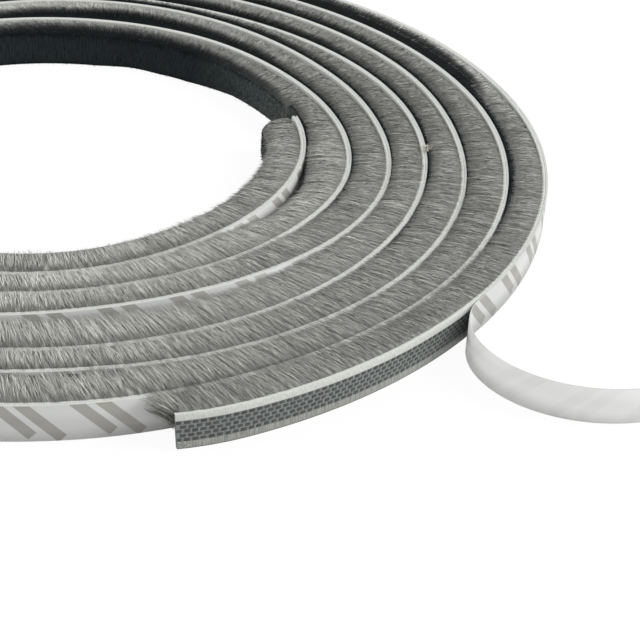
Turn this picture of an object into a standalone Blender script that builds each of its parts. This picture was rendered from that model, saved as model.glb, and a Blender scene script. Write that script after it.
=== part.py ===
"""Brush seal strip: self-adhesive pile weatherstrip in a loose flat coil, lying on its side edge.

Three pieces run side by side along one spiral: the woven backing, the brush pile on its inner face and
the release liner on its outer face. At the outer end the liner is peeled off and curls away, so the tail
is as long as the stretch of backing that it has left bare.

Units are metres. The coil is modelled about its own axis with its lower edges at z = 0, then moved so
that the origin is under the middle of the whole part. Angles are in degrees, clockwise from +X as seen
from above, and they go on counting from turn to turn.
"""
import math

import bmesh
import bpy
from mathutils import Vector

MM = 0.001

# Strip section: the strip stands on its edge, so its widths are heights here
STRIP_WIDTH = 9.0 * MM
BACKING_THICKNESS = 1.0 * MM
LINER_THICKNESS = 0.25 * MM
PIECE_GAP = 0.3 * MM
PILE_LENGTH = 10.0 * MM
PILE_ROOT_WIDTH = 6.2 * MM
PILE_TIP_ROUNDING = 1.8 * MM
# The tips flare out: upwards past the edge of the backing, downwards almost to the floor
PILE_RISE = 1.3 * MM
PILE_FLOOR_GAP = 0.3 * MM

# Coil: radius of the backing's outer face at angle 0, and how much it grows in one turn
START_RADIUS = 70.8 * MM
COIL_PITCH = 10.8 * MM
INNER_END = -17.0
OUTER_END = 2229.0
PEEL_ANGLE = 2192.0
STATION_STEP = 7.5
TIP_STEPS = 2

# Places where the loose coil bulges out or pulls in: middle angle, shift as a share of the pitch,
# half span
LOOSE_SPOTS = (
    (30, -0.13, 45),
    (86, 0.14, 40),
    (322, -0.11, 30),
    (370, 0.14, 30),
    (425, -0.08, 35),
    (636, 0.43, 52),
    (731, 0.13, 30),
    (787, -0.31, 45),
    (1008, -0.17, 60),
    (1155, 0.16, 75),
    (1430, -0.08, 24),
    (1485, 0.10, 40),
    (1521, -0.07, 20),
    (1876, 0.11, 30),
    (2196, -0.14, 50),
)

# Cut ends of the pile: at the inner end it begins a little after the backing, with its tips pulled
# back, and at the outer end its tips fan out past the cut
INNER_SETBACK = 3.0 * MM
INNER_PULL = 2.5 * MM
OUTER_FAN = 4.5 * MM

# Peeled liner: it curls away from the coil, tightly at first, then in a wider bend
CURL_START_RADIUS = 17.5 * MM
CURL_END_RADIUS = 44.0 * MM
TAIL_STEP = 3.5 * MM

# Linear colour, roughness
BACKING_LOOK = ((0.62, 0.63, 0.60), 0.7)
PILE_LOOK = ((0.20, 0.21, 0.205), 0.95)
LINER_LOOK = ((0.76, 0.77, 0.74), 0.35)


def backing_radius(angle):
    """Radius of the backing's outer face at an angle."""
    radius = START_RADIUS + COIL_PITCH * angle / 360
    for middle, shift, half_span in LOOSE_SPOTS:
        away = abs(angle - middle)
        if away < half_span:
            radius += shift * COIL_PITCH * (1 + math.cos(math.pi * away / half_span)) / 2
    return radius


def on_plan(radius, angle):
    """Plan position at a radius and a clockwise angle."""
    return Vector((radius * math.cos(math.radians(angle)), -radius * math.sin(math.radians(angle))))


def stations(start, end):
    """Angles to model between two ends, on one grid so that the facets of all turns are parallel."""
    margin = STATION_STEP / 5
    first = math.ceil((start + margin) / STATION_STEP)
    last = math.floor((end - margin) / STATION_STEP)
    return [start] + [step * STATION_STEP for step in range(first, last + 1)] + [end]


def spiral_path(start, end, outward):
    """Plan points along the coil, a distance outward of the backing's outer face."""
    return [on_plan(backing_radius(angle) + outward, angle) for angle in stations(start, end)]


def path_length(path):
    return sum((b - a).length for a, b in zip(path, path[1:]))


def tail_path(start, heading, length):
    """Plan points of the peeled liner, which leaves along a heading and curls to its left."""
    steps = round(length / TAIL_STEP)
    step = length / steps
    point = start.copy()
    path = []
    for index in range(steps):
        share = (index + 0.5) / steps
        bend_radius = CURL_START_RADIUS + (CURL_END_RADIUS - CURL_START_RADIUS) * share
        turn = step / bend_radius
        direction = heading + turn / 2
        point = point + step * Vector((math.cos(direction), math.sin(direction)))
        path.append(point)
        heading += turn
    return path


def material(name, look):
    colour, roughness = look
    result = bpy.data.materials.new(name)
    result.use_nodes = True
    shader = result.node_tree.nodes["Principled BSDF"]
    shader.inputs["Base Color"].default_value = (*colour, 1)
    shader.inputs["Roughness"].default_value = roughness
    shader.inputs["Metallic"].default_value = 0
    result.diffuse_color = (*colour, 1)
    return result


def add_object(name, data, look, collection):
    obj = bpy.data.objects.new(name, data)
    data.materials.append(material(name, look))
    collection.objects.link(obj)
    return obj


def add_ribbon(name, path, thickness, look, collection):
    """A band as wide as the strip, standing on edge along a plan path that is its mid-line."""
    curve = bpy.data.curves.new(name, "CURVE")
    curve.dimensions = "2D"
    curve.fill_mode = "NONE"
    curve.extrude = STRIP_WIDTH / 2
    spline = curve.splines.new("POLY")
    spline.points.add(len(path) - 1)
    for point, place in zip(spline.points, path):
        point.co = (place.x, place.y, 0, 1)
    ribbon = add_object(name, curve, look, collection)
    ribbon.location.z = STRIP_WIDTH / 2
    shell = ribbon.modifiers.new("thickness", "SOLIDIFY")
    shell.thickness = thickness
    shell.offset = 0
    shell.use_even_offset = True
    return ribbon


def pile_root_radius(angle):
    return backing_radius(angle) - BACKING_THICKNESS - PIECE_GAP


def pile_tip_radius(angle):
    """Radius of the fibre tips: at full length, or pressed back by the liner of the turn inside."""
    free = pile_root_radius(angle) - PILE_LENGTH
    inside = angle - 360
    if inside < INNER_END - STATION_STEP:
        return free
    return max(free, backing_radius(inside) + PIECE_GAP + LINER_THICKNESS + PIECE_GAP)


def pile_section():
    """Outline across the pile: share of its depth from root to tip, height above the floor."""
    rounding_share = PILE_TIP_ROUNDING / PILE_LENGTH
    corner = []
    for step in range(TIP_STEPS + 1):
        turn = math.radians(90 * step / TIP_STEPS)
        share = 1 - rounding_share * (1 - math.sin(turn))
        corner.append((share, PILE_TIP_ROUNDING * (1 - math.cos(turn))))
    over = [(share, STRIP_WIDTH + PILE_RISE - drop) for share, drop in corner]
    under = [(share, PILE_FLOOR_GAP + drop) for share, drop in reversed(corner)]
    root_high = (STRIP_WIDTH + PILE_ROOT_WIDTH) / 2
    root_low = (STRIP_WIDTH - PILE_ROOT_WIDTH) / 2
    return [(0, root_high), *over, *under, (0, root_low)]


def pile_ring(angle, fan=0, pull=0):
    """Outline of the pile at a station. Its tips run on along the coil by fan and back by pull."""
    root = pile_root_radius(angle)
    tip = pile_tip_radius(angle) + pull
    fan_angle = math.degrees(fan / tip)
    ring = []
    for share, height in pile_section():
        place = on_plan(root + share * (tip - root), angle + share * fan_angle)
        ring.append((place.x, place.y, height))
    return ring


def add_pile(collection):
    """The brush: one loft through sections that are squeezed where the turns lie close together."""
    start = INNER_END + math.degrees(INNER_SETBACK / backing_radius(INNER_END))
    angles = stations(start, OUTER_END)
    outlines = [pile_ring(start, 0, INNER_PULL)]
    outlines += [pile_ring(angle) for angle in angles[1:-1]]
    outlines.append(pile_ring(OUTER_END, OUTER_FAN))
    shape = bmesh.new()
    rings = [[shape.verts.new(place) for place in outline] for outline in outlines]
    count = len(rings[0])
    for near, far in zip(rings, rings[1:]):
        for index in range(count):
            after = (index + 1) % count
            shape.faces.new((near[index], near[after], far[after], far[index]))
    shape.faces.new(rings[0])
    shape.faces.new(rings[-1])
    bmesh.ops.recalc_face_normals(shape, faces=shape.faces)
    mesh = bpy.data.meshes.new("brush_pile")
    shape.to_mesh(mesh)
    shape.free()
    return add_object("brush_pile", mesh, PILE_LOOK, collection)


def add_backing(collection):
    path = spiral_path(INNER_END, OUTER_END, -BACKING_THICKNESS / 2)
    return add_ribbon("woven_backing", path, BACKING_THICKNESS, BACKING_LOOK, collection)


def add_liner(collection):
    outward = PIECE_GAP + LINER_THICKNESS / 2
    attached = spiral_path(INNER_END, PEEL_ANGLE, outward)
    bare_length = path_length(spiral_path(PEEL_ANGLE, OUTER_END, outward))
    before = on_plan(backing_radius(PEEL_ANGLE - 1) + outward, PEEL_ANGLE - 1)
    leaving = attached[-1] - before
    tail = tail_path(attached[-1], math.atan2(leaving.y, leaving.x), bare_length)
    return add_ribbon("release_liner", attached + tail, LINER_THICKNESS, LINER_LOOK, collection)


def centre_over_origin(objects):
    """Move the objects together so that the origin is under the middle of their plan."""
    depsgraph = bpy.context.evaluated_depsgraph_get()
    corners = []
    for obj in objects:
        evaluated = obj.evaluated_get(depsgraph)
        corners += [evaluated.matrix_world @ Vector(corner) for corner in evaluated.bound_box]
    for axis in (0, 1):
        places = [corner[axis] for corner in corners]
        middle = (min(places) + max(places)) / 2
        for obj in objects:
            obj.location[axis] -= middle


def main():
    for obj in list(bpy.data.objects):
        bpy.data.objects.remove(obj, do_unlink=True)
    collection = bpy.data.collections.new("brush_seal_strip")
    bpy.context.scene.collection.children.link(collection)
    centre_over_origin([add_backing(collection), add_pile(collection), add_liner(collection)])


main()
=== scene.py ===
"""Looks for the brush seal strip: its fibres, woven backing, adhesive and liner, in a white studio.

Lengths are in metres. Angles are in degrees, clockwise from +X as seen from above, and go on counting
from turn to turn. The coil's own numbers repeat the CAD source's, so every piece lies where its solid
lies.
"""

import math

import bpy
import numpy as np
from mathutils import Matrix, Vector


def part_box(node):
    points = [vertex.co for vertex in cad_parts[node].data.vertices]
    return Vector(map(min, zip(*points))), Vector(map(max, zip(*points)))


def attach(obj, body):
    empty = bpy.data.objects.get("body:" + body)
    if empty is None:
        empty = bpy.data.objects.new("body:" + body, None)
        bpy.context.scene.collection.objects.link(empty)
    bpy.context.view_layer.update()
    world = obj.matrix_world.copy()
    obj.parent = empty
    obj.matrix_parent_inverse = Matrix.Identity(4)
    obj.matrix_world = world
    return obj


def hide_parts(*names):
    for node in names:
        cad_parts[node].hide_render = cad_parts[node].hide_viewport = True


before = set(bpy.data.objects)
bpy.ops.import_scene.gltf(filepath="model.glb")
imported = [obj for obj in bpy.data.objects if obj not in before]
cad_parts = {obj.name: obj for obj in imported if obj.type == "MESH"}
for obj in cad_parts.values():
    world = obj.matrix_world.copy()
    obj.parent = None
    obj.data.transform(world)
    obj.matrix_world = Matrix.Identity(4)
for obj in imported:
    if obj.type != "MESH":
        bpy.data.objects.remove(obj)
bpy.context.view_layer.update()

MM = 0.001
BODY = "root"

# The strip's section and the coil, as in the CAD source
STRIP_WIDTH = 9.0 * MM
BACKING_THICKNESS = 1.0 * MM
LINER_THICKNESS = 0.25 * MM
PIECE_GAP = 0.3 * MM
PILE_LENGTH = 10.0 * MM
PILE_FLOOR_GAP = 0.3 * MM
START_RADIUS = 70.8 * MM
COIL_PITCH = 10.8 * MM
INNER_END = -17.0
OUTER_END = 2229.0
PEEL_ANGLE = 2192.0
STATION_STEP = 7.5
LOOSE_SPOTS = (
    (30, -0.13, 45),
    (86, 0.14, 40),
    (322, -0.11, 30),
    (370, 0.14, 30),
    (425, -0.08, 35),
    (636, 0.43, 52),
    (731, 0.13, 30),
    (787, -0.31, 45),
    (1008, -0.17, 60),
    (1155, 0.16, 75),
    (1430, -0.08, 24),
    (1485, 0.10, 40),
    (1521, -0.07, 20),
    (1876, 0.11, 30),
    (2196, -0.14, 50),
)
INNER_SETBACK = 3.0 * MM
OUTER_FAN = 4.5 * MM
CURL_START_RADIUS = 17.5 * MM
CURL_END_RADIUS = 44.0 * MM

# The first turn has no turn inside it, so its fibres end free
FIRST_TURN_END = INNER_END + 360

# The last degrees of the strip bend in, and its cut is trimmed and slants
END_BEND = 1.1 * MM
END_BEND_SPAN = 7.0
CUT_TRIM = 0.5 * MM
CUT_SLANT = 0.6 * MM

# One place where tips have slumped: how far they stand back from the liner, and how far they sink
SLUMP_ANGLE = 382.0
SLUMP_HALF_SPAN = 20.0
SLUMP_WIDTH = 1.3 * MM
SLUMP_DROP = 1.3 * MM

rng = np.random.default_rng(20)


def rise(value, low, high):
    """0 up to low, 1 from high on, and straight between them."""
    return np.clip((value - low) / (high - low), 0, 1)


def fall(value, low, high):
    """1 up to low, 0 from high on, and straight between them."""
    return np.clip((high - value) / (high - low), 0, 1)


def plateau(angle, middle, half_span, steepness):
    """1 around a middle angle, down to 0 at half a span from it."""
    return np.clip(steepness - steepness * np.abs(angle - middle) / half_span, 0, 1)


# Coil


def solid_radius(angle):
    """Radius of the backing's outer face in the CAD source."""
    angle = np.asarray(angle, float)
    radius = START_RADIUS + COIL_PITCH * angle / 360
    for middle, shift, half_span in LOOSE_SPOTS:
        away = np.abs(angle - middle)
        bump = shift * COIL_PITCH * (1 + np.cos(np.pi * away / half_span)) / 2
        radius = radius + np.where(away < half_span, bump, 0)
    return radius


def backing_radius(angle):
    """Radius of the backing's outer face. The end of the strip bends in more than its solid does."""
    angle = np.asarray(angle, float)
    return solid_radius(angle) - END_BEND * rise(angle, OUTER_END - END_BEND_SPAN, OUTER_END) ** 2


def on_plan(radius, angle):
    turn = np.radians(angle)
    return np.stack([radius * np.cos(turn), -radius * np.sin(turn)], -1)


def find_axis():
    """Plan place of the coil's axis: the backing's own box, set against the path of its solid."""
    low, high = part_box("woven_backing")
    first = math.ceil((INNER_END + STATION_STEP / 5) / STATION_STEP)
    last = math.floor((OUTER_END - STATION_STEP / 5) / STATION_STEP)
    angles = np.concatenate([[INNER_END], np.arange(first, last + 1) * STATION_STEP, [OUTER_END]])
    path = on_plan(solid_radius(angles) - BACKING_THICKNESS / 2, angles)
    middle = (path.min(0) + path.max(0)) / 2
    return np.array([(low.x + high.x) / 2, (low.y + high.y) / 2]) - middle


def path_steps(path):
    return np.linalg.norm(np.diff(path, axis=0), axis=1)


AXIS = find_axis()

# Distance along the backing's outer face, for things that are evenly spaced on the strip
TABLE_ANGLES = np.arange(INNER_END, OUTER_END + 0.1, 0.25)
TABLE_STEPS = path_steps(on_plan(backing_radius(TABLE_ANGLES), TABLE_ANGLES))
TABLE_LENGTHS = np.concatenate([[0], np.cumsum(TABLE_STEPS)])
STRIP_LENGTH = TABLE_LENGTHS[-1]


def angle_at(distance):
    return np.interp(distance, TABLE_LENGTHS, TABLE_ANGLES)


def distance_at(angle):
    return np.interp(angle, TABLE_ANGLES, TABLE_LENGTHS)


PEEL_DISTANCE = float(distance_at(PEEL_ANGLE))
FIRST_TURN_LENGTH = float(distance_at(FIRST_TURN_END))


def place(radius, angle, height):
    """Points in the row frame."""
    plan = on_plan(radius, angle) + AXIS
    return np.concatenate([plan, np.broadcast_to(height, plan.shape[:-1])[..., None]], -1)


def towards_front(angle):
    """1 at the side of the coil that faces the camera, 0 at the far side."""
    return (1 + np.sin(np.radians(angle))) / 2


def covering(angle):
    """1 where the fibres cover the tape's upper edge, towards the front, and 0 at the far side."""
    return rise(towards_front(angle), 0.3, 0.55)


def wave(distance, period):
    """Smooth random swing along the strip, about 1 high."""
    knots = rng.standard_normal(int(STRIP_LENGTH / period) + 8)
    at = np.asarray(distance) / period + 3
    index = np.clip(np.floor(at).astype(int), 0, len(knots) - 2)
    share = np.clip(at - index, 0, 1)
    share = share * share * (3 - 2 * share)
    return knots[index] * (1 - share) + knots[index + 1] * share


# Meshes

UV_LAYER = "along"


def new_object(name, points, groups, uvs, material):
    """A mesh from arrays of faces, one array for each number of corners, with a UV for each corner."""
    mesh = bpy.data.meshes.new(name)
    mesh.vertices.add(len(points))
    mesh.vertices.foreach_set("co", np.ascontiguousarray(points, np.float32).ravel())
    corners = np.concatenate([faces.ravel() for faces in groups])
    sizes = np.concatenate([np.full(len(faces), faces.shape[1]) for faces in groups])
    mesh.loops.add(len(corners))
    mesh.loops.foreach_set("vertex_index", corners.astype(np.int32))
    mesh.polygons.add(len(sizes))
    mesh.polygons.foreach_set("loop_start", (np.cumsum(sizes) - sizes).astype(np.int32))
    layer = mesh.uv_layers.new(name=UV_LAYER)
    corner_uvs = np.concatenate([uv.reshape(-1, 2) for uv in uvs])
    layer.uv.foreach_set("vector", corner_uvs.astype(np.float32).ravel())
    mesh.update(calc_edges=True)
    mesh.validate()
    obj = bpy.data.objects.new(name, mesh)
    bpy.context.scene.collection.objects.link(obj)
    mesh.materials.append(material)
    return obj


def triangles_round(centre, start, end, width):
    """Three corners round each centre, across the line from start to end, each turned at random."""
    axis = end - start
    axis /= np.linalg.norm(axis, axis=1)[:, None]
    side = np.cross(axis, (0.0, 0.0, 1.0))
    side /= np.linalg.norm(side, axis=1)[:, None]
    lift = np.cross(side, axis)
    turn = rng.uniform(0, 2 * np.pi, len(axis))
    corners = []
    for corner in range(3):
        angle = turn + 2 * np.pi * corner / 3
        outward = np.cos(angle)[:, None] * side + np.sin(angle)[:, None] * lift
        corners.append(centre + width[:, None] / 2 * outward)
    return corners


def fibre_arrays(points, pattern, shade, across, along):
    """Arrays for new_object, from the points of each fibre and the faces of one. The UV holds the
    fibre's shade, a trace of its width and the place on its ramp."""
    each = points.shape[1]
    faces = (np.array(pattern)[None] + each * np.arange(len(points))[:, None, None]).reshape(-1, 3)
    uv = np.stack([shade[:, None] + np.array(across)[None], along], -1)
    return points.reshape(-1, 3), [faces], [uv.reshape(-1, 2)[faces]]


def spindles(root, middle, tip, width, shade, middle_tone, tip_tone):
    """Slim closed fibres, widest at their middle point. Tones are places on the ramp."""
    points = np.stack([root, *triangles_round(middle, root, tip, width), tip], 1)
    pattern = ((0, 1, 2), (0, 2, 3), (0, 3, 1), (4, 2, 1), (4, 3, 2), (4, 1, 3))
    along = np.stack([np.zeros(len(root)), middle_tone, middle_tone, middle_tone, tip_tone], 1)
    return fibre_arrays(points, pattern, shade, (0, -0.002, 0.0, 0.002, 0), along)


def needles(base, tip, width, shade):
    """Slim closed fibres, widest at the base."""
    points = np.stack([*triangles_round(base, base, tip, width), tip], 1)
    pattern = ((0, 2, 1), (3, 0, 1), (3, 1, 2), (3, 2, 0))
    along = np.broadcast_to(np.array([0.0, 0.0, 0.0, 1.0]), (len(base), 4))
    return fibre_arrays(points, pattern, shade, (-0.002, 0.0, 0.002, 0), along)


def loft(rings, distances):
    """A closed skin through rings of points, with flat ends. The UV is distance along and round."""
    stations, count = rings.shape[:2]
    points = rings.reshape(-1, 3)
    first = np.arange(stations - 1)[:, None] * count + np.arange(count)[None]
    after = np.arange(stations - 1)[:, None] * count + (np.arange(count)[None] + 1) % count
    quads = np.stack([first, after, after + count, first + count], -1).reshape(-1, 4)
    round_steps = np.linalg.norm(np.roll(rings[1], -1, 0) - rings[1], axis=1)
    around = np.concatenate([[0], np.cumsum(round_steps)])
    near = np.broadcast_to(distances[:-1, None], (stations - 1, count))
    far = np.broadcast_to(distances[1:, None], (stations - 1, count))
    low = np.broadcast_to(around[None, :-1], (stations - 1, count))
    high = np.broadcast_to(around[None, 1:], (stations - 1, count))
    corners = ((near, low), (near, high), (far, high), (far, low))
    uv = np.stack([np.stack(corner, -1) for corner in corners], 2)
    start = np.arange(count)[::-1][None]
    end = (np.arange(count) + (stations - 1) * count)[None]
    caps = [np.stack([np.full((1, count), at), around[None, :-1]], -1) for at in distances[[0, -1]]]
    return points, [quads, start, end], [uv, *caps]


def stand_for(obj, node):
    """The piece rides on the body and hides that CAD node."""
    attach(obj, BODY)
    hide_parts(node)
    return obj


# Materials

# How far the fibres lean towards the outer end, on average
MEAN_LEAN = 16.0


def new_material(name, roughness, specular=0.5, coat=0.0):
    material = bpy.data.materials.new(name)
    material.use_nodes = True
    shader = material.node_tree.nodes["Principled BSDF"]
    shader.inputs["Roughness"].default_value = roughness
    shader.inputs["Specular IOR Level"].default_value = specular
    shader.inputs["Coat Weight"].default_value = coat
    return material, material.node_tree, shader


def plain_material(name, colour, roughness, specular=0.5):
    material, tree, shader = new_material(name, roughness, specular)
    shader.inputs["Base Color"].default_value = (*colour, 1)
    return material


def connect(tree, value, socket):
    """Link a node's output to a socket, or set the socket to a constant."""
    if isinstance(value, bpy.types.NodeSocket):
        tree.links.new(value, socket)
    else:
        socket.default_value = value


def math_node(tree, operation, first, second):
    node = tree.nodes.new("ShaderNodeMath")
    node.operation = operation
    connect(tree, first, node.inputs[0])
    connect(tree, second, node.inputs[1])
    return node.outputs[0]


def mixed_colour(tree, share, first, second, blend="MIX"):
    node = tree.nodes.new("ShaderNodeMix")
    node.data_type = "RGBA"
    node.blend_type = blend
    connect(tree, share, node.inputs[0])
    connect(tree, first, node.inputs[6])
    connect(tree, second, node.inputs[7])
    return node.outputs[2]


def ramp_colour(tree, value, stops):
    """Colour for a value, from (place, grey or colour) pairs."""
    node = tree.nodes.new("ShaderNodeValToRGB")
    elements = node.color_ramp.elements
    while len(elements) < len(stops):
        elements.new(0.5)
    for element, (at, colour) in zip(elements, stops):
        element.position = at
        if not hasattr(colour, "__len__"):
            colour = (colour, colour, colour)
        element.color = (*colour, 1)
    tree.links.new(value, node.inputs[0])
    return node.outputs[0]


def uv_place(tree):
    node = tree.nodes.new("ShaderNodeUVMap")
    node.uv_map = UV_LAYER
    return node.outputs[0]


def split_uv(tree):
    split = tree.nodes.new("ShaderNodeSeparateXYZ")
    tree.links.new(uv_place(tree), split.inputs[0])
    return split.outputs[0], split.outputs[1]


def stretched_noise(tree, at, scale, detail=3):
    """Fine noise, stretched by the two scales."""
    mapping = tree.nodes.new("ShaderNodeMapping")
    mapping.inputs["Scale"].default_value = (*scale, 1)
    tree.links.new(at, mapping.inputs[0])
    noise = tree.nodes.new("ShaderNodeTexNoise")
    noise.noise_dimensions = "2D"
    noise.inputs["Scale"].default_value = 1
    noise.inputs["Detail"].default_value = detail
    tree.links.new(mapping.outputs[0], noise.inputs[0])
    return noise.outputs[0]


def fibre_material(name, along_stops, shade_stops, roughness, specular=0.5):
    """Colour from the fibre's own shade and the place along it, both held in the UV map."""
    material, tree, shader = new_material(name, roughness, specular)
    own_shade, place_along = split_uv(tree)
    along = ramp_colour(tree, place_along, along_stops)
    shade = ramp_colour(tree, own_shade, shade_stops)
    tree.links.new(mixed_colour(tree, 1, along, shade, "MULTIPLY"), shader.inputs["Base Color"])
    return material


# Root to free length in the first part of the ramp, then the cut tips; their near black and the darker
# root are painted shade
FREE_TONE = 0.6
PILE = fibre_material(
    "grey_pile",
    ((0, (0.60, 0.606, 0.563)), (0.1, (0.65, 0.656, 0.61)), (0.3, (0.68, 0.686, 0.638)),
     (FREE_TONE, (0.78, 0.786, 0.732)), (0.8, (0.19, 0.194, 0.186)), (1, (0.020, 0.023, 0.025))),
    ((0, 0.3), (1, 1.3)), 0.6)
# Cut tips in near-black painted shade, for the dark between fibres seen end on
PAINTED_SHADE_TIPS = fibre_material(
    "painted_shade_tips",
    ((0, (0.0105, 0.0132, 0.0145)), (1, (0.025, 0.032, 0.035))),
    ((0, 0.5), (1, 4.0)), 0.8, 0.1)

# Painted light on the first turn's tips, warmer where it is higher: angle, factor
TIPS_PAINTED_LIGHT = (
    (INNER_END, 7.0),
    (-5, 7.0),
    (5, 1.0),
    (302, 1.0),
    (322, 4.0),
    (338, 5.5),
    (FIRST_TURN_END, 1.0),
)
PAINTED_LIGHT_WARMTH = 0.04


def core_material():
    """The depth of the pile between the fibres that stand out: streaks that run and lean as they do."""
    material, tree, shader = new_material("pile_depth", 0.9)
    slant = tree.nodes.new("ShaderNodeMapping")
    slant.inputs["Rotation"].default_value = (0, 0, math.radians(MEAN_LEAN))
    tree.links.new(uv_place(tree), slant.inputs[0])
    noise = stretched_noise(tree, slant.outputs[0], (3200, 220))
    # A grey darker than the fibres': painted shade of the pile's depth
    colour = ramp_colour(tree, noise, ((0.35, (0.12, 0.122, 0.114)), (0.65, (0.35, 0.353, 0.329))))
    tree.links.new(colour, shader.inputs["Base Color"])
    return material


def painted_shade_depth_material():
    """Cut tips of the depth in near-black painted shade: faint upright streaks, with painted light at the
    two ends of the first turn.
    """
    material, tree, shader = new_material("painted_shade_depth", 0.8, 0.1)
    noise = stretched_noise(tree, uv_place(tree), (1900, 420))
    streaks = ramp_colour(
        tree, noise, ((0.3, (0.0055, 0.0080, 0.0092)), (0.7, (0.0155, 0.0205, 0.0222))))
    distance = split_uv(tree)[0]
    share = math_node(tree, "DIVIDE", distance, FIRST_TURN_LENGTH)
    stops = []
    for angle, factor in TIPS_PAINTED_LIGHT:
        warm = 1 + PAINTED_LIGHT_WARMTH * (factor - 1)
        at = float(distance_at(angle)) / FIRST_TURN_LENGTH
        stops.append((at, (factor * warm, factor, factor / warm)))
    paler = ramp_colour(tree, share, stops)
    tree.links.new(mixed_colour(tree, 1, streaks, paler, "MULTIPLY"), shader.inputs["Base Color"])
    return material


def woven_material(name, scale, stops, roughness, coat=0.0, detail=3, bump=(0.4, 0.08 * MM)):
    """Woven surface whose colour and bump follow fine noise. The bump is its strength and distance."""
    material, tree, shader = new_material(name, roughness, coat=coat)
    noise = stretched_noise(tree, uv_place(tree), scale, detail)
    tree.links.new(ramp_colour(tree, noise, stops), shader.inputs["Base Color"])
    relief = tree.nodes.new("ShaderNodeBump")
    relief.inputs["Strength"].default_value = bump[0]
    relief.inputs["Distance"].default_value = bump[1]
    tree.links.new(noise, relief.inputs["Height"])
    tree.links.new(relief.outputs[0], shader.inputs["Normal"])
    return material


def selvedge_material():
    """White woven edge: fine crosswise ribs and a little unevenness."""
    stops = ((0.3, (0.44, 0.45, 0.42)), (0.62, (0.56, 0.57, 0.535)))
    return woven_material("white_selvedge", (3200, 1100), stops, 0.6, detail=4, bump=(0.5, 0.1 * MM))


def weave_ground_material():
    """Grey threads between the dark floats, under the clear adhesive."""
    stops = ((0.35, (0.10, 0.11, 0.105)), (0.65, (0.23, 0.246, 0.232)))
    return woven_material("weave_ground", (3200, 3600), stops, 0.5, 0.15)


def lower_selvedge_material():
    stops = ((0.35, (0.18, 0.187, 0.165)), (0.65, (0.335, 0.343, 0.308)))
    return woven_material("lower_selvedge", (3600, 260), stops, 0.5, 0.15)


def float_material():
    """Dark warp floats, each a little lighter or darker."""
    material, tree, shader = new_material("dark_floats", 0.5, coat=0.2)
    own_shade = split_uv(tree)[0]
    colour = ramp_colour(tree, own_shade, ((0, (0.018, 0.023, 0.021)), (1, (0.042, 0.050, 0.047))))
    tree.links.new(colour, shader.inputs["Base Color"])
    return material


# Printed bars of the liner: start within the period, and the place along its slant where each begins
MARK_PITCH = 17.0 * MM
MARK_WIDTH = 3.5 * MM
MARK_BARS = ((1.0 * MM, 3.8 * MM), (6.4 * MM, 11.0 * MM))
MARK_COLOUR = (0.29, 0.285, 0.256, 1)
# How strongly the bars show through on the other face
SHOW_THROUGH = 0.07
# The same paper on both faces, painted lighter on the inner face and darker on the outer, as painted
# light and shade
PAPER_INNER = (0.74, 0.745, 0.73, 1)
PAPER_OUTER = (0.53, 0.537, 0.525, 1)


def liner_material():
    """Smooth release paper. Pairs of plain slanted bars are printed on its outer face."""
    material, tree, shader = new_material("printed_liner", 0.38)
    # The skin's distance round the section: up the outer face, over the edge and down the inner face
    distance, around = split_uv(tree)
    other_side = math_node(tree, "SUBTRACT", 2 * STRIP_WIDTH + LINER_THICKNESS, around)
    height = math_node(tree, "MINIMUM", around, other_side)
    slanted = math_node(tree, "SUBTRACT", distance, height)
    in_period = math_node(tree, "FLOORED_MODULO", slanted, MARK_PITCH)
    along_bar = math_node(tree, "ADD", in_period, math_node(tree, "MULTIPLY", height, 2))
    bars = []
    for start, begin in MARK_BARS:
        after = math_node(tree, "GREATER_THAN", in_period, start)
        before = math_node(tree, "LESS_THAN", in_period, start + MARK_WIDTH)
        begun = math_node(tree, "GREATER_THAN", along_bar, begin)
        bars.append(math_node(tree, "MULTIPLY", math_node(tree, "MULTIPLY", after, before), begun))
    printed = math_node(tree, "LESS_THAN", around, STRIP_WIDTH)
    strength = math_node(tree, "MULTIPLY", printed, 1 - SHOW_THROUGH)
    strength = math_node(tree, "ADD", strength, SHOW_THROUGH)
    marks = math_node(tree, "MULTIPLY", math_node(tree, "ADD", *bars), strength)
    outer = math_node(tree, "LESS_THAN", around, STRIP_WIDTH + LINER_THICKNESS)
    paper = mixed_colour(tree, outer, PAPER_INNER, PAPER_OUTER)
    tree.links.new(mixed_colour(tree, marks, paper, MARK_COLOUR), shader.inputs["Base Color"])
    return material


# Pile

PILE_START = float(distance_at(INNER_END)) + INNER_SETBACK
TUFT_PITCH = 1.81 * MM

# The pile's upper surface: share of the depth from root to tip, height in millimetres
SURFACE = np.array((
    (0, 9.3), (0.04, 9.52), (0.1, 9.7), (0.25, 9.86), (0.5, 10.0), (0.7, 10.1), (0.85, 10.05), (1.0, 9.9),
    (1.2, 9.6)))
# Places where the tips stand off from the turn inside: middle angle, half span, width in millimetres
PARTED = (
    (732, 15, 0.45),
    (1444, 8, 0.35),
    (1462, 9, 0.45),
    (1884, 12, 1.3),
    (2152, 30, 0.2),
    (2166, 14, 0.5),
)
# Spread of the first turn's fibres along the floor: angle, millimetres
FLOOR_FLARE = np.array(((150, 0), (210, 4.4), (275, 4.4), (284, 2.6), (292, 3.4), (301, 3.0), (314, 0)))
# Section of the solid depth, from the top of the root round to its bottom: share, millimetres
CORE_TOP = ((0, 8.9), (0.05, 9.15), (0.15, 9.32), (0.3, 9.42), (0.5, 9.5), (0.7, 9.5), (0.84, 9.3))
CORE_TIPS = ((0.93, 8.8), (1, 7.6), (1, 1.4), (0.975, 0.4))
CORE_UNDER = ((0.5, 0.6), (0, 1.9))
# How far the depth ends before the fibres do, and what stays open where it stands against a piece
CORE_INSET = 0.45 * MM
CORE_CLEARANCE = 0.03 * MM
CORE_STEP = 2.4 * MM


def pile_root_radius(angle):
    return backing_radius(angle) - BACKING_THICKNESS - PIECE_GAP


def slumped(angle):
    """1 where the second turn's tips have slumped away and bare the liner of the first turn."""
    return plateau(angle, SLUMP_ANGLE, SLUMP_HALF_SPAN, 1.6)


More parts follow.
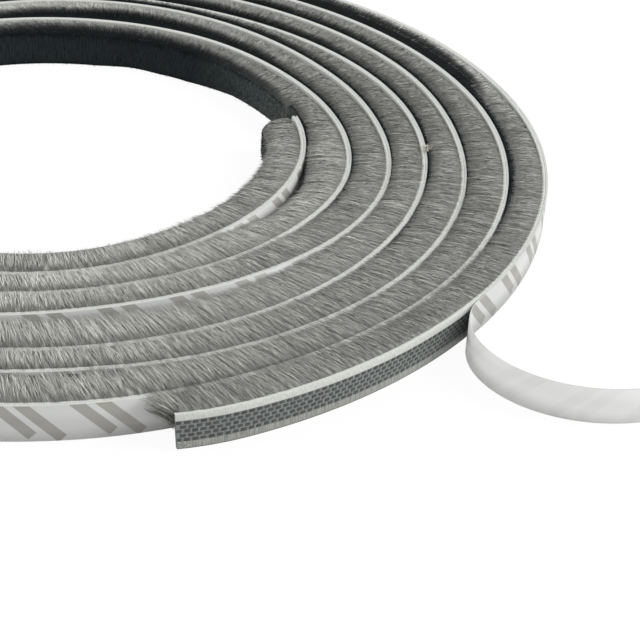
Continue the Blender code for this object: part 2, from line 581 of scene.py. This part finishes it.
def pile_tip_radius(angle):
    """Radius of the fibre tips: at full length, or pressed back by the liner of the turn inside. Behind
    the inner cut, fibres of the first turn stay a little short, and the slumped ones stand back."""
    free = pile_root_radius(angle) - PILE_LENGTH
    pressed = backing_radius(angle - 360) + PIECE_GAP + LINER_THICKNESS + PIECE_GAP
    radius = np.where(angle - 360 < INNER_END - STATION_STEP, free, np.maximum(free, pressed))
    short = (1.2 * rise(angle, -9, 0) - 0.5 * rise(angle, 40, 65)) * fall(angle, 150, 200)
    return radius + SLUMP_WIDTH * slumped(angle) + short * MM


def surface_height(share):
    return np.interp(share, SURFACE[:, 0], SURFACE[:, 1]) * MM


def sagging(angle):
    """1 where the last turn's pile has sunk away from the tape's upper edge, at the far side."""
    return rise(angle, 2060, 2080) * fall(angle, 2135, 2147)


def parted(angle):
    """How far the tips stand off from the turn inside."""
    width = np.zeros_like(angle)
    for middle, half_span, most in PARTED:
        width = width + most * MM * plateau(angle, middle, half_span, 1.5)
    return width


def floor_flare(angle, height):
    """How far the fibres of the first turn spread inwards at a height, most of all along the floor."""
    most = np.interp(angle, FLOOR_FLARE[:, 0], FLOOR_FLARE[:, 1]) * MM
    return most * np.clip(1 - height / STRIP_WIDTH, 0, 1) ** 1.5


def end_pull(distance):
    """How far the tips are pulled back at the inner end, which is rounded by its cut."""
    return 2.3 * MM * fall(distance, PILE_START, PILE_START + 4 * MM) ** 2


def add_core():
    """Loft that fills the pile's depth, a little inside its surface."""
    distances = np.arange(PILE_START + 0.4 * MM, STRIP_LENGTH - 3 * MM, CORE_STEP)
    distances = np.append(distances, STRIP_LENGTH - CUT_TRIM)
    section = CORE_TOP + CORE_TIPS + CORE_UNDER
    rings = []
    for share, height in section:
        # At the cut the depth ends a little further back towards the floor and the tips
        set_back = (0.8 + 3.0 * share) * MM * (distances == distances[-1])
        angles = angle_at(distances - set_back)
        root = pile_root_radius(angles)
        tip = pile_tip_radius(angles) + CORE_INSET + end_pull(distances)
        inward = floor_flare(angles, height * MM) * share
        if share == 0:
            # The roots stand against the tape
            inward = inward - (PIECE_GAP - CORE_CLEARANCE)
        if share == 1:
            # Below its upper edge the pile stands against the liner of the turn inside
            pressed = rise(angles, FIRST_TURN_END, FIRST_TURN_END + 5)
            to_liner = CORE_INSET + PIECE_GAP - CORE_CLEARANCE + SLUMP_WIDTH * slumped(angles)
            inward = inward + pressed * to_liner
        # The upper side sinks beside the tape at the far side, and where the tips have slumped
        sunk = 1.4 * (1 - covering(angles)) + 0.6 * sagging(angles)
        sunk = sunk * math.exp(-share / 0.25) * MM
        sunk = sunk + SLUMP_DROP * slumped(angles) * share ** 2
        level = height * MM - sunk * (height > 5)
        rings.append(place(root + share * (tip - root) - inward, angles, level))
    rings = np.stack(rings, 1)
    obj = new_object("pile_depth", *loft(rings, distances), core_material())
    obj.data.materials.append(painted_shade_depth_material())
    # The painted shade of the tips begins further from the edge at the far side, where the fibres are
    # seen end on
    front = towards_front(angle_at(distances[:-1]))
    first_dark = len(CORE_TOP) - 1 - (front < 0.3).astype(int) - (front < 0.12)
    side = np.arange(len(section))[None]
    dark = (side >= first_dark[:, None]) & (side < len(CORE_TOP) + len(CORE_TIPS) - 1)
    slots = np.concatenate([dark.astype(np.int32).ravel(), [0, 0]])
    obj.data.polygons.foreach_set("material_index", slots)
    return stand_for(obj, "brush_pile")


def tuft_noise():
    return rng.normal(0, 1, int(STRIP_LENGTH / TUFT_PITCH) + 8)


TUFT_JITTER = tuft_noise() * 0.1 * TUFT_PITCH
TUFT_LEAN = tuft_noise()
TUFT_SHADE = tuft_noise()
TUFT_HEIGHT = tuft_noise()

# Shares of the upper fibres that belong to the lower row, and that end short
LOW_ROW = 0.38
CUT_SHORT = 0.2
# A tip beyond the liner's edge lies on the liner, at this height or above
OVER_LINER = 9.3 * MM
# Scatter of the lean in degrees
LEAN_SCATTER = 4.0
# Least and greatest width, in millimetres, of the upper fibres, the cut end's and the dark tips
TOP_WIDTHS = (0.12, 0.21)
CUT_WIDTHS = (0.11, 0.18)
TIP_WIDTHS = (0.16, 0.3)
# How far back from the cut the painted shade of its fibres goes: full up to the first, none from the
# second
CUT_SHADE_SPAN = (2.8 * MM, 16.8 * MM)


def top_roots(count):
    """Row, depth below the surface, tuft and distance along the strip of fibres of the upper side."""
    low_row = rng.random(count) < LOW_ROW
    low_depth = 0.5 * MM + rng.exponential(0.35 * MM, count)
    high_depth = np.abs(rng.normal(0, 0.22 * MM, count))
    depth = np.where(low_row, low_depth, high_depth)
    index = rng.integers(0, int((STRIP_LENGTH - PILE_START) / TUFT_PITCH), count)
    tuft = PILE_START + (index + 0.25 + 0.5 * low_row) * TUFT_PITCH + TUFT_JITTER[index]
    start = np.clip(tuft + rng.normal(0, 0.38 * MM, count), PILE_START, STRIP_LENGTH - 0.05 * MM)
    return low_row, depth, index, start


def top_shift(start, angle, index, reach):
    """How far along the strip the tips lie past their roots: they lean, and fan out past the cut."""
    lean = MEAN_LEAN + 3.5 * wave(start, 45 * MM) + 1.2 * wave(start, 9 * MM) + 1.4 * TUFT_LEAN[index]
    lean = lean + rng.normal(0, LEAN_SCATTER, len(start))
    lean = lean - 9 * rise(towards_front(angle), 0.6, 1) * (angle < 360)
    shift = reach * np.tan(np.radians(lean)) + rng.normal(0, 0.35 * MM, len(start))
    return shift + OUTER_FAN * fall(STRIP_LENGTH - start, 0, 7 * MM) ** 1.5


def top_share(start, angle, reach, low_row):
    """Length of the fibres as a share of the pile's depth, above 1 where they reach over the liner."""
    front = towards_front(angle)
    free = angle < FIRST_TURN_END
    # Further over at the coil's two sides and its front, but not into the open bore
    beside = np.exp(-((front - 0.57) / 0.1) ** 2) * (1 - slumped(angle))
    over = -0.2 + 0.55 * beside + 1.5 * front ** 6 - 2.5 * free * front ** 4
    over = over + (0.1 + 0.4 * front ** 4) * wave(start, 45 * MM) + 0.9 * rise(angle, 2178, 2190)
    spread = 0.2 - 0.06 * free + 0.25 * front ** 2 * ~free
    over = (over + rng.normal(0, 1, len(start)) * spread) * MM
    over = over - parted(angle) - 0.4 * MM * beside * (parted(angle) > 0)
    over = np.where(low_row, np.minimum(over, -0.1 * MM), over)
    share = np.clip((reach + over) / reach, 0.35, 1.35)
    cut_short = rng.random(len(start)) < CUT_SHORT
    return np.where(cut_short, share * rng.uniform(0.5, 0.95, len(start)), share)


def top_root_height(angle, depth):
    """Height of the roots, which cover the tape's upper edge at the front."""
    front = towards_front(angle)
    height = 8.1 - 0.7 * sagging(angle) + 0.98 * covering(angle) ** 0.5
    height = height + 0.1 * covering(angle) * fall(front, 0.65, 0.85) + 0.1 * rise(front, 0.85, 1)
    height = height + 0.25 * rise(angle, 5, 25) * fall(angle, 55, 75)
    return height * MM - 0.8 * depth


def top_shade(start, angle, root, index, low_row):
    """Place of the fibres on the shade ramp, by matched factors: a random tone of each fibre and tuft,
    and painted light and shade. The inner turns and the left side are painted lighter, and the first
    turn, its start, the far right, the lower row and the fibres near the cut darker."""
    front = towards_front(angle)
    free = angle < FIRST_TURN_END
    right = np.clip(np.cos(np.radians(angle)), 0, 1)
    left = np.clip(-np.cos(np.radians(angle)), 0, 1)
    near = np.clip(np.sin(np.radians(angle)), 0, 1)
    back = np.clip(-np.sin(np.radians(angle)), 0, 1)
    near_cut = fall(STRIP_LENGTH - start, *CUT_SHADE_SPAN)
    shade = 0.62 + 0.15 * rng.normal(0, 1, len(start)) + (0.03 + 0.16 * near_cut) * TUFT_SHADE[index]
    shade = shade + 0.035 * wave(start, 22 * MM)
    shade = shade + 3.3 * root * left - 0.036 * angle / 360 * (1 - right)
    shade = shade - right * (0.18 + 0.27 * rise(angle, 0, 720))
    shade = shade - 0.18 * right * near * rise(angle, 1080, 1780)
    shade = shade - 0.4 * back * right * fall(angle, 1700, 2000)
    shade = shade - free * (0.3 * back + 0.15 * rise(front, 0.5, 0.7))
    shade = shade - 0.22 * fall(angle, -10, 50) + 0.16 * (front ** 2 - 0.25)
    shade = shade + 0.15 * sagging(angle) - 0.07 * rise(angle, 2190, 2210)
    return np.clip(shade - 0.05 * low_row - 0.1 * near_cut, 0.02, 0.98)


def top_tones(start, angle, shares):
    """Places on the fibre's ramp for shares of the pile's depth. Seen from the camera, the fibres of
    the far side turn dark where their cut tips begin: painted shade, deeper where the pile sags."""
    front = towards_front(angle)
    sag = sagging(angle)
    tips_seen = rise(1 - front + 0.1 * sag, 0.6, 0.8)
    dark_from = 0.53 + 1.6 * front - 0.2 * (angle < FIRST_TURN_END) - 0.05 * (angle < 292)
    dark_from = dark_from * (1 - 0.8 * sag) + 0.06 * wave(start, 8 * MM) + 0.05 * wave(start, 25 * MM)
    dark_from = np.clip(dark_from, 0.08, None)
    tones = []
    for share in shares:
        grey = np.minimum(share / dark_from, 1) - share
        dark = (1.4 + sag) * np.clip(share - dark_from, 0, 1)
        tones.append(FREE_TONE * (share + tips_seen * (grey + dark)))
    return tones


def add_top_fibres(name, count):
    """Fibres of the pile's upper side: two staggered rows of tufts that spread out towards the tips."""
    low_row, depth, index, start = top_roots(count)
    angle = angle_at(start)
    free = angle < FIRST_TURN_END
    root = pile_root_radius(angle)
    reach = root - pile_tip_radius(angle) - end_pull(start)
    shift = top_shift(start, angle, index, reach)
    share = top_share(start, angle, reach, low_row)
    swell = 0.18 * wave(start, 11 * MM) + 0.08 * wave(start, 3.2 * MM) + 0.06 * TUFT_HEIGHT[index]
    swell = swell * MM
    tip_height = surface_height(share) + swell - depth + rng.normal(0, 0.15 * MM, count)
    on_liner = (share > 0.98) & ~free
    tip_height = np.where(on_liner, np.maximum(tip_height, OVER_LINER), tip_height - 0.5 * MM * free)
    tip_height = tip_height - SLUMP_DROP * slumped(angle) * share ** 2
    bend = rng.uniform(0.2, 0.75, count) * (1 - 0.5 * sagging(angle))
    middle_share = bend * share
    middle_height = surface_height(middle_share) + swell * 0.6 - depth + rng.normal(0, 0.12 * MM, count)
    middle_height = middle_height - SLUMP_DROP * slumped(angle) * middle_share ** 2
    root_shift = 0.2 + covering(angle) * rng.uniform(0.6, 1.0, count) - 0.4 * (angle > PEEL_ANGLE)
    tip_radius = root - reach * share
    turn = np.degrees(shift / tip_radius)
    root_point = place(root + root_shift * MM, angle, top_root_height(angle, depth))
    middle_point = place(root - reach * middle_share, angle + turn * bend * 1.05, middle_height)
    tip_point = place(tip_radius, angle + turn, tip_height)
    shade = top_shade(start, angle, root, index, low_row)
    tones = top_tones(start, angle, (middle_share, share))
    width = rng.uniform(*TOP_WIDTHS, count) * MM
    mesh = spindles(root_point, middle_point, tip_point, width, shade, *tones)
    return stand_for(new_object(name, *mesh, PILE), "brush_pile")


# Locks that the fibres of the cut end lie in, and how far one of full spread reaches past it
LOCKS = 30
LOCK_REACH = 5.6 * MM


def add_cut_fibres(name, count):
    """Fibres of the cut outer end: the upper ones fan out over the liner of the turn inside."""
    lock = rng.integers(0, LOCKS, count)
    # From 0 for the lowest lock to 1 for the uppermost
    level = ((np.arange(LOCKS) + rng.uniform(0, 1, LOCKS)) / LOCKS) ** 0.6
    spread = rng.uniform(0.5, 1.08, LOCKS) * (1 - 0.25 * level)
    depth = rng.uniform(0, 1.2 * MM, LOCKS)
    start = STRIP_LENGTH - CUT_TRIM - depth[lock] - rng.exponential(0.25 * MM, count)
    angle = angle_at(start)
    root = pile_root_radius(angle)
    reach = root - pile_tip_radius(angle)
    share = rng.uniform(0.72, 1.0, count)
    shift = LOCK_REACH * (spread[lock] + rng.normal(0, 0.03, count))
    bend = rng.uniform(0.35, 0.75, count)
    root_height = (4.4 + 4.0 * level[lock]) * MM + rng.normal(0, 0.25 * MM, count)
    tip_height = (4.9 + 4.9 * level[lock]) * MM + rng.normal(0, 0.12 * MM, count)
    middle_height = root_height + (tip_height - root_height) * bend * 1.2
    tip_radius = root - reach * share
    turn = np.degrees(shift * share / tip_radius)
    root_point = place(root + 0.15 * MM, angle, root_height)
    middle_point = place(root - reach * share * bend, angle + turn * bend * 1.15, middle_height)
    tip_point = place(tip_radius, angle + turn, tip_height)
    # A random tone for each lock, and the lower locks painted darker as painted shade
    tint = rng.uniform(-0.25, 0.25, LOCKS) + 0.3 * level
    shade = np.clip(tint[lock] + 0.1 * rng.normal(0, 1, count), 0, 0.98)
    width = rng.uniform(*CUT_WIDTHS, count) * MM
    tones = (FREE_TONE * share * bend, FREE_TONE * share)
    mesh = spindles(root_point, middle_point, tip_point, width, shade, *tones)
    return stand_for(new_object(name, *mesh, PILE), "brush_pile")


def add_tip_needles(name, count, first_turn):
    """Cut tips seen end on, near black as painted shade: over the whole face in the bore, and at the
    upper edge elsewhere.
    """
    if first_turn:
        start = rng.uniform(PILE_START + 5 * MM, FIRST_TURN_LENGTH, count)
    else:
        start = rng.uniform(FIRST_TURN_LENGTH, STRIP_LENGTH - 4 * MM, count)
        # More of them where the tips stand off and the gap is seen
        spots = np.array(PARTED)[rng.integers(0, len(PARTED), count)]
        in_spot = distance_at(spots[:, 0] + spots[:, 1] * rng.uniform(-1, 1, count))
        start = np.where(rng.random(count) < 0.25, in_spot, start)
    angle = angle_at(start)
    front = towards_front(angle)
    tip = pile_tip_radius(angle) + end_pull(start)
    reach = pile_root_radius(angle) - tip
    # From 0 at the floor to 1 where the rounded upper edge begins, and 2 at the crest
    lowest = 0 if first_turn else 0.8
    highest = np.where((angle < 170) & first_turn, 1.0, 1.5)
    highest = highest - 0.3 * (angle > 800) * (front > 0.05) * (front < 0.5)
    highest = np.where((angle > 300) & first_turn, 1.2, highest)
    highest = np.where((parted(angle) > 0.1 * MM) & (front < 0.8), 1.8, highest)
    climb = lowest + rng.uniform(0, 1, count) * (highest - lowest)
    rounding = np.clip(climb - 1, 0, 1)
    height = np.minimum(climb, 1) * 8.0 * MM + 1.2 * MM * np.sin(rounding * np.pi / 2)
    height = (PILE_FLOOR_GAP + height) * (1 - SLUMP_DROP / STRIP_WIDTH * slumped(angle))
    back = 0.17 * reach * (1 - np.cos(rounding * np.pi / 2))
    base_radius = tip + 0.6 * MM + back - floor_flare(angle, height)
    length = rng.uniform(0.45, 0.8, count) * MM * np.clip(0.45 + height / (3 * MM), 0, 1)
    if not first_turn:
        # These end against the liner of the turn inside
        length = 0.6 * MM + back + rng.uniform(-0.2, 0.3, count) * MM
    end_radius = base_radius - length
    lean = length * np.tan(np.radians(MEAN_LEAN)) + rng.normal(0, 0.15, count) * MM
    end_height = np.maximum(height + (rounding + rng.normal(0, 1, count)) * 0.1 * MM, 0.15 * MM)
    base = place(base_radius, angle, height)
    end = place(end_radius, angle + np.degrees(lean / end_radius), end_height)
    # A random tone of each tip, painted lighter towards the crest and on the bore wall before the first
    # turn's end, as painted light
    shade = 0.17 + 0.14 * rng.normal(0, 1, count) + 0.1 * wave(start, 3 * MM)
    shade = shade + 0.4 * np.clip(climb - 1, 0, 0.5) + 0.4 * rise(angle, 290, 340) * first_turn
    width = rng.uniform(*TIP_WIDTHS, count) * MM
    mesh = needles(base, end, width, np.clip(shade, 0.02, 0.98))
    return stand_for(new_object(name, *mesh, PAINTED_SHADE_TIPS), "brush_pile")


# Backing

# Heights of the weave on the outer face
LOWER_SELVEDGE = 1.95 * MM
UPPER_SELVEDGE = 7.35 * MM
ROWS = 5
RIB_PITCH = 0.55 * MM
RIB_RISE = 0.05 * MM
FLOAT_LENGTH = 1.36 * MM
FLOAT_HEIGHT = 0.84 * MM
FLOAT_RISE = 0.13 * MM
EDGE_ROUNDING = 0.18 * MM
COARSE_STEP = 1.6 * MM

# Where the tape's upper edge is frayed
FRAY_RADIUS = 103.3 * MM
FRAY_ANGLE = 1077.7


def slanted_cut(height):
    """How far the cut of the tape stays behind the strip's end at a height."""
    return CUT_TRIM + CUT_SLANT * (1 - height / STRIP_WIDTH)


def add_backing():
    """The tape. On the bare stretch its lower selvedge has modelled ribs, and stations to hold them."""
    coarse = np.arange(0, PEEL_DISTANCE - 6 * MM, COARSE_STEP)
    fine = np.arange(PEEL_DISTANCE - 5 * MM, STRIP_LENGTH, RIB_PITCH / 4)
    distances = np.concatenate([coarse, fine, [STRIP_LENGTH]])
    near_cut = rise(distances, STRIP_LENGTH - 5 * MM, STRIP_LENGTH)
    swing = np.abs(np.sin(np.pi * distances / RIB_PITCH))
    ribs = np.where(distances > coarse[-1], RIB_RISE * swing, 0)
    fray = 0.03 * MM * wave(distances, 0.8 * MM)
    back = -BACKING_THICKNESS
    top = STRIP_WIDTH
    # Place outward of the outer face, height, and 1 where the ribs lift it
    section = (
        (0, EDGE_ROUNDING, 1),
        (0, 0.36 * MM, 1),
        (0, LOWER_SELVEDGE - 0.1 * MM, 1),
        (0, LOWER_SELVEDGE, 0),
        (0, UPPER_SELVEDGE, 0),
        (0, top - EDGE_ROUNDING, 0),
        (-EDGE_ROUNDING, top, 0),
        (back + EDGE_ROUNDING, top, 0),
        (back, top - EDGE_ROUNDING, 0),
        (back, EDGE_ROUNDING, 0),
        (back + EDGE_ROUNDING, 0, 0),
        (-EDGE_ROUNDING, 0, 0),
    )
    rings = []
    for outward, height, ribbed in section:
        level = height + (fray if height > top - 0.3 * MM else np.zeros_like(fray))
        angles = angle_at(distances - near_cut * slanted_cut(height))
        rings.append(place(backing_radius(angles) + outward + ribs * ribbed, angles, level))
    obj = new_object("woven_tape", *loft(np.stack(rings, 1), distances), selvedge_material())
    obj.data.materials.append(weave_ground_material())
    obj.data.materials.append(lower_selvedge_material())
    # Painted shade: a dark strip along the bottom edge by the floor, and on the cut face
    obj.data.materials.append(plain_material("painted_shade_edge", (0.12, 0.12, 0.105), 0.8))
    # Material of each side of the section, and of the two ends
    sides = (3, 2, 2, 1, 0, 0, 0, 0, 0, 0, 2, 3)
    ends = (1, 3)
    slots = np.concatenate([np.tile(sides, len(distances) - 1), ends]).astype(np.int32)
    obj.data.polygons.foreach_set("material_index", slots)
    return stand_for(obj, "woven_backing")


def add_floats():
    """The dark dashes of the weave: low pillows in staggered rows over the bare stretch."""
    across = np.array((-1, -0.85, 0, 0.85, 1))
    up = np.array((-1, -0.7, 0.7, 1))
    grid_along, grid_up = np.meshgrid(across, up, indexing="ij")
    swell = (1 - grid_along ** 8) ** 0.5 * (1 - grid_up ** 8) ** 0.5
    size = grid_along.size
    grid = np.arange(size).reshape(grid_along.shape)
    quads = np.stack([grid[:-1, :-1], grid[:-1, 1:], grid[1:, 1:], grid[1:, :-1]], -1).reshape(-1, 4)
    rim = np.concatenate([grid[0, :], grid[1:, -1], grid[-1, -2::-1], grid[-2:0:-1, 0]])[None]
    points = []
    for row in range(ROWS):
        height = LOWER_SELVEDGE + (row + 0.5) * (UPPER_SELVEDGE - LOWER_SELVEDGE) / ROWS
        middles = np.arange(PEEL_DISTANCE - 4 * MM, STRIP_LENGTH, TUFT_PITCH) + (row % 2) * TUFT_PITCH / 2
        cut = STRIP_LENGTH - slanted_cut(height) - 0.08 * MM
        for middle in middles[middles < cut + FLOAT_LENGTH * 0.2]:
            long = FLOAT_LENGTH / 2 * rng.uniform(0.92, 1.06)
            tall = FLOAT_HEIGHT / 2 * rng.uniform(0.92, 1.05)
            centre = middle + rng.normal(0, 0.04 * MM)
            angles = angle_at(np.minimum(centre + grid_along * long, cut + grid_along * 0.01 * MM))
            radius = backing_radius(angles) - 0.02 * MM + FLOAT_RISE * swell
            level = height + rng.normal(0, 0.03 * MM) + grid_up * tall
            points.append(place(radius, angles, level).reshape(-1, 3))
    starts = size * np.arange(len(points))[:, None, None]
    faces = (quads[None] + starts).reshape(-1, 4)
    rims = (rim[None] + starts).reshape(-1, rim.shape[1])
    shade = 0.05 + 0.9 * np.repeat(rng.uniform(0, 1, len(points)), size)
    shade = shade + 0.01 * np.tile(grid_along.ravel(), len(points))
    uv = np.stack([shade, np.tile(grid_up.ravel(), len(points)) * 0.5 + 0.5], 1)
    points = np.concatenate(points)
    obj = new_object("weave_floats", points, [faces, rims], [uv[faces], uv[rims]], float_material())
    return stand_for(obj, "woven_backing")


def add_threads(name, root, middle, tip, width, colour):
    half = np.full(len(root), 0.5)
    mesh = spindles(root, middle, tip, np.full(len(root), width), half, half, half)
    return stand_for(new_object(name, *mesh, plain_material(name, colour, 0.7)), "woven_backing")


def add_frayed_threads():
    """A few loose pale threads at one place of the tape's upper edge."""
    count = 26
    radius = FRAY_RADIUS + rng.normal(0, 0.25 * MM, count)
    root = place(radius, FRAY_ANGLE + rng.normal(0, 0.3, count), 8.9 * MM)
    middle = root + rng.normal(0, 0.45 * MM, (count, 3)) + np.array([0.2, 0, 1.1]) * MM
    tip = middle + rng.normal(0, 0.6 * MM, (count, 3)) + np.array([0.5, -0.2, 0.1]) * MM
    middle[:, 2] = np.clip(middle[:, 2], 9.4 * MM, 10.9 * MM)
    tip[:, 2] = np.clip(tip[:, 2], 9.6 * MM, 11.2 * MM)
    return add_threads("frayed_threads", root, middle, tip, 0.2 * MM, (0.74, 0.70, 0.62))


def add_corner_threads():
    """Short pale threads that have come loose at the lower corner of the cut."""
    count = 16
    distance = STRIP_LENGTH - CUT_TRIM - CUT_SLANT - rng.uniform(0.1, 2.4, count) * MM
    angle = angle_at(distance)
    radius = backing_radius(angle)
    height = rng.uniform(0.5, 1.9, count) * MM
    shift, climb = rng.uniform(-0.9, 0.9, (2, count)) * MM
    turn = np.degrees(shift / radius)
    root = place(radius + 0.02 * MM, angle, height)
    middle = place(radius + 0.25 * MM, angle + turn / 2, height + 0.25 * MM)
    tip = place(radius + 0.2 * MM, angle + turn, np.maximum(height + climb / 2, 0.3 * MM))
    return add_threads("corner_threads", root, middle, tip, 0.14 * MM, (0.66, 0.66, 0.62))


def add_adhesive():
    """The clear glue between the tape and the attached liner: a thin film in their gap."""
    distances = np.arange(0.5 * MM, PEEL_DISTANCE - 1 * MM, COARSE_STEP)
    angles = angle_at(distances)
    near, far = 0.03 * MM, 0.27 * MM
    low, high = 0.2 * MM, 8.98 * MM
    rings = []
    for outward, height in ((far, low), (far, high), (near, high), (near, low)):
        rings.append(place(backing_radius(angles) + outward, angles, height))
    material = plain_material("adhesive", (0.62, 0.63, 0.60), 0.4)
    obj = new_object("adhesive_film", *loft(np.stack(rings, 1), distances), material)
    return stand_for(obj, "woven_backing")


# Liner

TAIL_STEPS = 100


def liner_path():
    """Mid-line of the liner in plan, from the inner end to the free end of the tail, at fine steps."""
    outward = PIECE_GAP + LINER_THICKNESS / 2
    angles = np.append(np.arange(INNER_END, PEEL_ANGLE - 0.5, 1.0), PEEL_ANGLE)
    attached = on_plan(backing_radius(angles) + outward, angles)
    bare = on_plan(backing_radius(TABLE_ANGLES) + outward, TABLE_ANGLES)[TABLE_ANGLES >= PEEL_ANGLE]
    last_degree = np.array([PEEL_ANGLE - 1, PEEL_ANGLE])
    before, at_peel = on_plan(backing_radius(last_degree) + outward, last_degree)
    heading = math.atan2(at_peel[1] - before[1], at_peel[0] - before[0])
    step = path_steps(bare).sum() / TAIL_STEPS
    point = attached[-1]
    tail = []
    for index in range(TAIL_STEPS):
        share = (index + 0.5) / TAIL_STEPS
        turn = step / (CURL_START_RADIUS + (CURL_END_RADIUS - CURL_START_RADIUS) * share)
        direction = heading + turn / 2
        point = point + step * np.array([math.cos(direction), math.sin(direction)])
        tail.append(point)
        heading += turn
    return np.concatenate([attached, np.array(tail)]) + AXIS


def add_liner():
    path = liner_path()
    along = np.gradient(path, axis=0)
    along /= np.linalg.norm(along, axis=1)[:, None]
    outward = np.stack([-along[:, 1], along[:, 0]], 1)
    distances = np.concatenate([[0], np.cumsum(path_steps(path))])
    half = LINER_THICKNESS / 2
    rings = []
    for side, height in ((half, 0.0), (half, STRIP_WIDTH), (-half, STRIP_WIDTH), (-half, 0.0)):
        plan = path + outward * side
        rings.append(np.concatenate([plan, np.full((len(plan), 1), height)], 1))
    obj = new_object("release_liner_strip", *loft(np.stack(rings, 1), distances), liner_material())
    return stand_for(obj, "release_liner")


# Studio

# Name, place, size and power
LAMPS = (
    ("key", (1.4, 0.15, 1.1), 0.9, 25.0),
    ("fill", (-1.3, 0.1, 1.1), 1.2, 11.0),
    ("front", (0.2, -1.3, 0.45), 1.0, 1.5),
)
LAMP_TARGET = (0.05, -0.02, 0.0)
FLOOR_HALF = 3.0
FLOOR_GREY = (0.9, 0.9, 0.9, 1)
# Strength of the world's light, and share of the floor's own white in what the camera sees of it
WORLD_STRENGTH = 0.55
FLOOR_WHITE = 0.94

CAMERA_FROM_AXIS = (77.96 * MM, -426.90 * MM, 221.26 * MM)
CAMERA_PITCH = math.radians(31.900)
CAMERA_ROLL = math.radians(3.911)
FOCAL_PIXELS = 1767.72
FRAME_PIXELS = 640
SENSOR_WIDTH = 36


def seen_by_camera(tree):
    """1 for rays that show a thing directly, in a mirror or through glass, 0 for those that light it."""
    path = tree.nodes.new("ShaderNodeLightPath")
    seen = math_node(tree, "MAXIMUM", path.outputs["Is Camera Ray"], path.outputs["Is Glossy Ray"])
    return math_node(tree, "MAXIMUM", seen, path.outputs["Is Transmission Ray"])


def add_floor():
    mesh = bpy.data.meshes.new("floor")
    corners = [(-FLOOR_HALF, -FLOOR_HALF, 0), (FLOOR_HALF, -FLOOR_HALF, 0),
               (FLOOR_HALF, FLOOR_HALF, 0), (-FLOOR_HALF, FLOOR_HALF, 0)]
    mesh.from_pydata(corners, [], [(0, 1, 2, 3)])
    floor = bpy.data.objects.new("floor", mesh)
    bpy.context.scene.collection.objects.link(floor)
    material, tree, shader = new_material("white_floor", 0.9, 0)
    shader.inputs["Base Color"].default_value = FLOOR_GREY
    light = tree.nodes.new("ShaderNodeEmission")
    light.inputs["Strength"].default_value = 1.0
    mix = tree.nodes.new("ShaderNodeMixShader")
    tree.links.new(math_node(tree, "MULTIPLY", seen_by_camera(tree), FLOOR_WHITE), mix.inputs[0])
    tree.links.new(shader.outputs[0], mix.inputs[1])
    tree.links.new(light.outputs[0], mix.inputs[2])
    tree.links.new(mix.outputs[0], tree.nodes["Material Output"].inputs[0])
    mesh.materials.append(material)


def add_world():
    """White all round: full white where it is seen, and dimmer as light."""
    world = bpy.data.worlds.new("studio")
    bpy.context.scene.world = world
    world.use_nodes = True
    tree = world.node_tree
    background = tree.nodes["Background"]
    background.inputs["Color"].default_value = (1, 1, 1, 1)
    mix = tree.nodes.new("ShaderNodeMix")
    tree.links.new(seen_by_camera(tree), mix.inputs[0])
    mix.inputs[2].default_value = WORLD_STRENGTH
    mix.inputs[3].default_value = 1.0
    tree.links.new(mix.outputs[0], background.inputs["Strength"])


def add_lamp(name, place_at, size, power):
    data = bpy.data.lights.new(name, "AREA")
    data.shape = "DISK"
    data.size = size
    data.energy = power
    lamp = bpy.data.objects.new(name, data)
    lamp.location = place_at
    lamp.rotation_mode = "QUATERNION"
    lamp.rotation_quaternion = (Vector(LAMP_TARGET) - Vector(place_at)).to_track_quat("-Z", "Y")
    bpy.context.scene.collection.objects.link(lamp)


def add_camera():
    data = bpy.data.cameras.new("camera")
    data.sensor_width = SENSOR_WIDTH
    data.lens = FOCAL_PIXELS * SENSOR_WIDTH / FRAME_PIXELS
    data.clip_start = 0.01
    data.clip_end = 20
    camera = bpy.data.objects.new("camera", data)
    forward = Vector((0, math.cos(CAMERA_PITCH), -math.sin(CAMERA_PITCH)))
    level = Vector((1, 0, 0))
    upright = level.cross(forward)
    right = math.cos(CAMERA_ROLL) * level + math.sin(CAMERA_ROLL) * upright
    up = -math.sin(CAMERA_ROLL) * level + math.cos(CAMERA_ROLL) * upright
    turn = Matrix((right, up, -forward)).transposed()
    place_at = Vector(CAMERA_FROM_AXIS) + Vector((*AXIS, 0))
    camera.matrix_world = Matrix.Translation(place_at) @ turn.to_4x4()
    bpy.context.scene.collection.objects.link(camera)
    bpy.context.scene.camera = camera


# How many fibres each kind of piece holds
TOP_FIBRES = 27500
CUT_FIBRES = 700
BORE_TIPS = 14000
TURN_TIPS = 16000

add_core()
for number in range(4):
    add_top_fibres(f"pile_fibres_{number}", TOP_FIBRES)
add_cut_fibres("cut_end_fibres", CUT_FIBRES)
add_tip_needles("tip_fibres_bore", BORE_TIPS, True)
add_tip_needles("tip_fibres_turns", TURN_TIPS, False)
add_backing()
add_floats()
add_frayed_threads()
add_corner_threads()
add_adhesive()
add_liner()
add_floor()
add_world()
for lamp_values in LAMPS:
    add_lamp(*lamp_values)
add_camera()
bpy.context.scene.view_settings.view_transform = "Standard"
